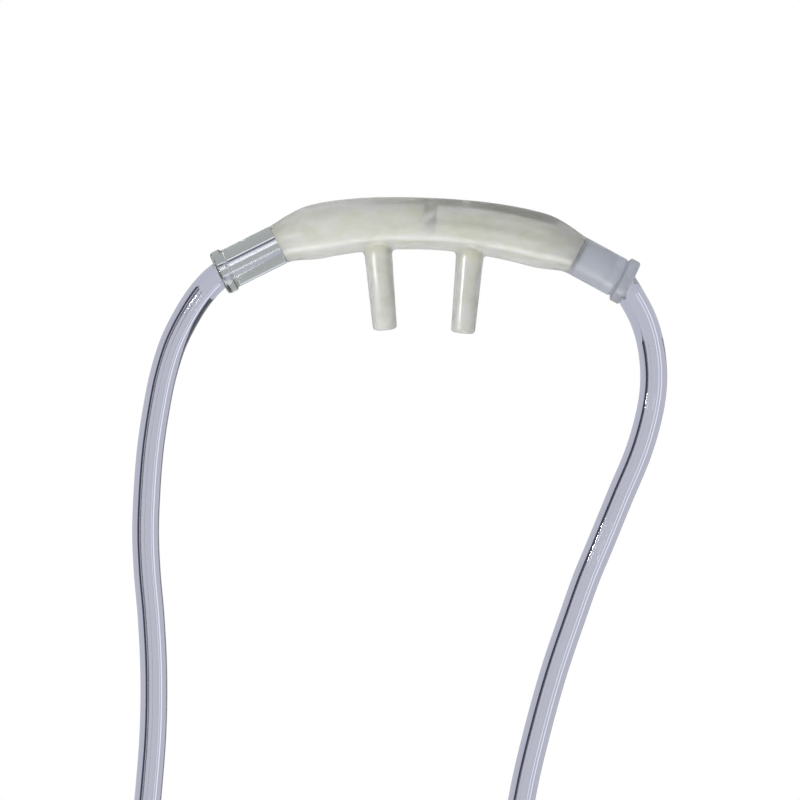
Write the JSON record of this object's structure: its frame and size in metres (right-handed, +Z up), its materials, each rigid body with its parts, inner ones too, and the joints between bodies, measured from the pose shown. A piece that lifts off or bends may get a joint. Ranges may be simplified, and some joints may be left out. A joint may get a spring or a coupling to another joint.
{
  "type": "carbon dioxide sampling nasal cannula",
  "caption": "Soft clear nasal cannula with a divided nasal piece, short prongs, side adapters and long coiled tubes that end in an oxygen connector and a luer lock connector.",
  "frame": {"origin": "on the surface that it lies on, under the middle of the nasal piece and its two adapters", "axes": "+X along the nasal piece towards the sampling side, -Y the way the prongs point, +Z up from the surface"},
  "size_m": [0.1368, 0.1835, 0.0342],
  "materials": {
    "nasal_vinyl": "milky soft moulded vinyl, faintly yellow, satin",
    "clear_adapter": "clear glossy vinyl",
    "frosted_adapter": "frosted blue-grey vinyl",
    "tube_vinyl": "clear extruded vinyl with a blue-violet tint, glossy",
    "tie_plastic": "white flat tie",
    "oxygen_vinyl": "clear soft vinyl, slightly hazy",
    "luer_plastic": "clear hard polycarbonate"
  },
  "bodies": {
    "root": {"nasal_piece": "nasal_vinyl", "left_adapter": "clear_adapter", "right_adapter": "frosted_adapter", "left_tube": "tube_vinyl", "left_coil": "tube_vinyl", "left_tube_end": "tube_vinyl", "left_coil_tie": "tie_plastic", "oxygen_connector": "oxygen_vinyl", "right_tube": "tube_vinyl", "right_coil": "tube_vinyl", "right_tube_end": "tube_vinyl", "right_coil_tie": "tie_plastic", "luer_connector": "luer_plastic"}
  },
  "joints": []
}
